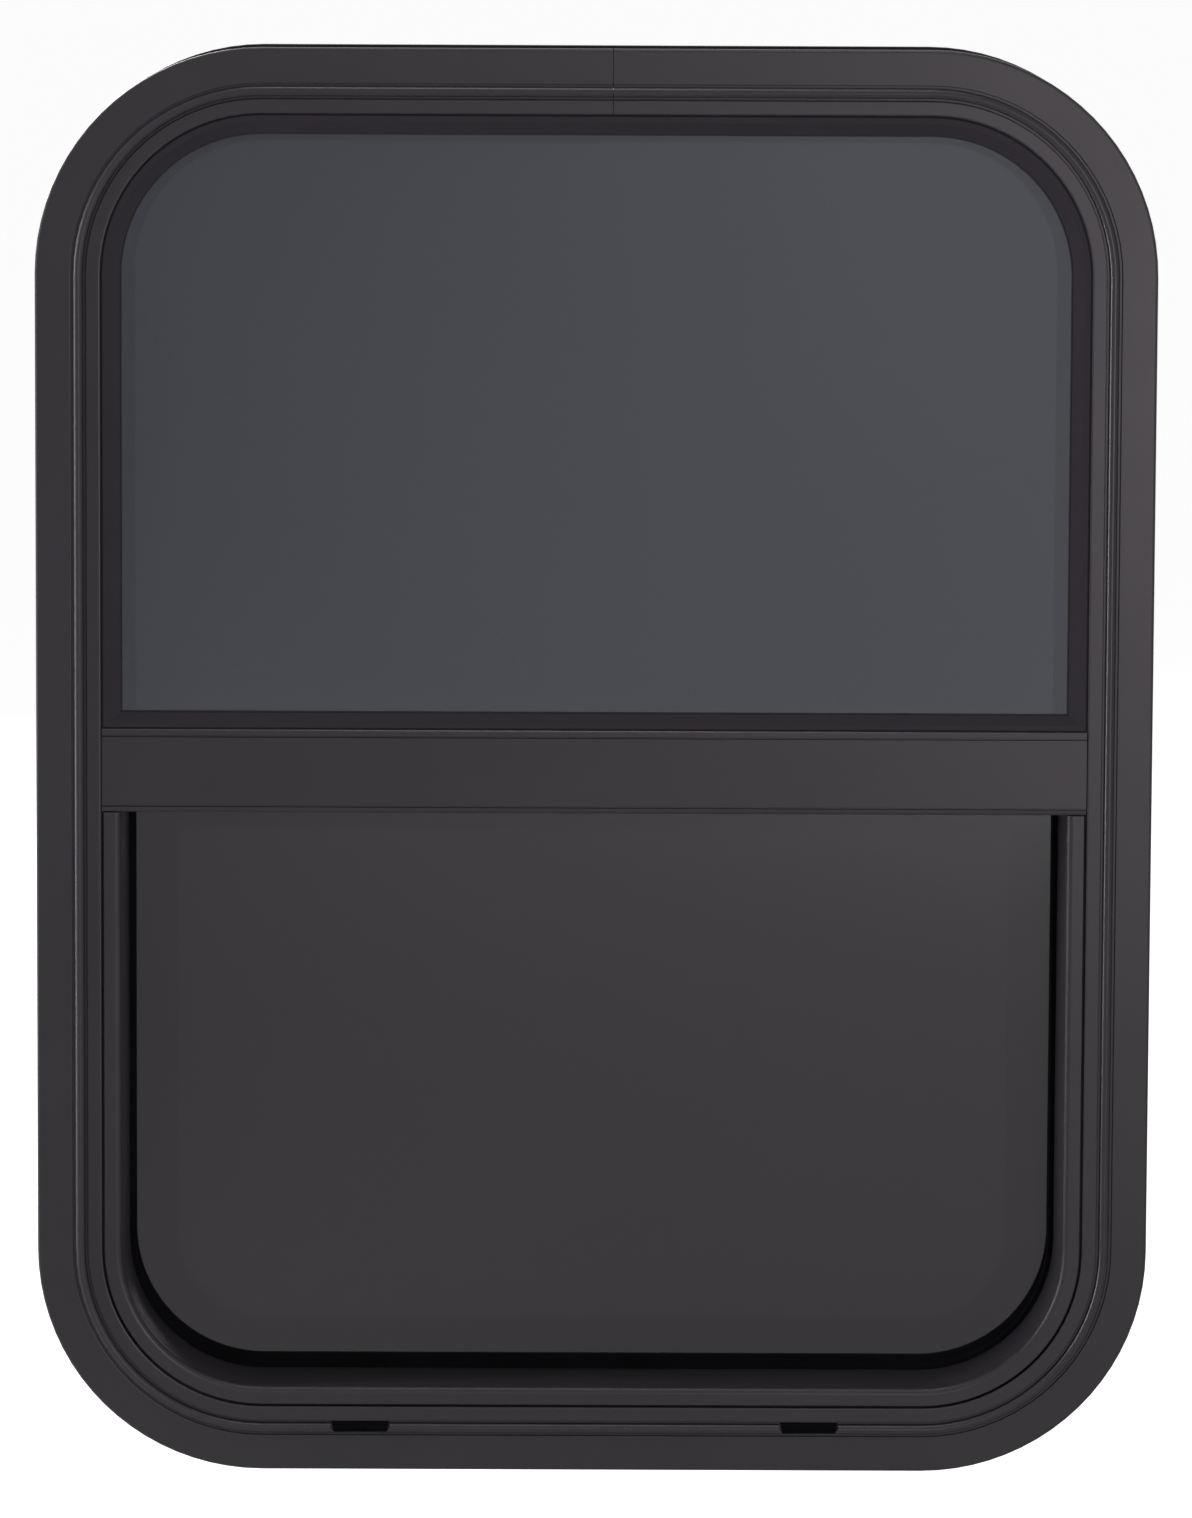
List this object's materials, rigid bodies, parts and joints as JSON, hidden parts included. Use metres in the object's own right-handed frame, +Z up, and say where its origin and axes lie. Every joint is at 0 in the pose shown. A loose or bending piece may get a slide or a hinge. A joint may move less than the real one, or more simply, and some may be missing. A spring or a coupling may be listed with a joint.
{
  "type": "caravan window",
  "caption": "Vertical slider caravan window: rounded black aluminium frame, fixed upper pane, sliding lower sash, insect screen and room-side clamp ring.",
  "frame": {"origin": "middle of the window on the flat back face of the mounting flange, where it meets the outer skin of the caravan", "axes": "+Z up, -Y out of the caravan, +Y into the room, +X to the right seen from outside"},
  "size_m": [0.552, 0.0664, 0.709],
  "materials": {
    "frame_coating": "satin black powder coat on aluminium",
    "bare_aluminium": "mill finish",
    "tinted_glass": "grey-blue tempered glass",
    "black_rubber": "satin black rubber",
    "foam_tape": "dull foam tape",
    "pile": "brush pile",
    "screw_steel": "zinc plated",
    "latch_plastic": "moulded black plastic",
    "screen_fabric": "woven glass-fibre insect mesh",
    "black_screws": "black plated screw heads",
    "flocked_rubber": "black rubber channel with a flocked face",
    "grey_glass": "dark grey tempered glass"
  },
  "bodies": {
    "root": {"outer_frame": "frame_coating", "seam_plate": "bare_aluminium", "seam_rivets": "bare_aluminium", "upper_glass": "tinted_glass", "upper_gasket": "black_rubber", "rail_gasket": "black_rubber", "glass_tape": "foam_tape", "setting_blocks": "black_rubber", "infill_strip": "frame_coating", "middle_rail": "frame_coating", "rail_pile": "pile", "rail_screws": "screw_steel", "sash_glass": "grey_glass", "sash_rail": "frame_coating", "sash_rail_liner": "black_rubber", "jamb_seal_left": "flocked_rubber", "jamb_seal_right": "flocked_rubber", "sill_seal": "flocked_rubber", "head_seal": "flocked_rubber", "travel_stops": "black_rubber", "latch_left": "latch_plastic", "latch_right": "latch_plastic", "latch_bolts": "screw_steel", "screen_frame": "frame_coating", "screen_mesh": "screen_fabric", "screen_spline": "black_rubber", "screen_tabs": "latch_plastic", "clamp_ring": "frame_coating", "ring_screws": "black_screws"}
  },
  "joints": []
}
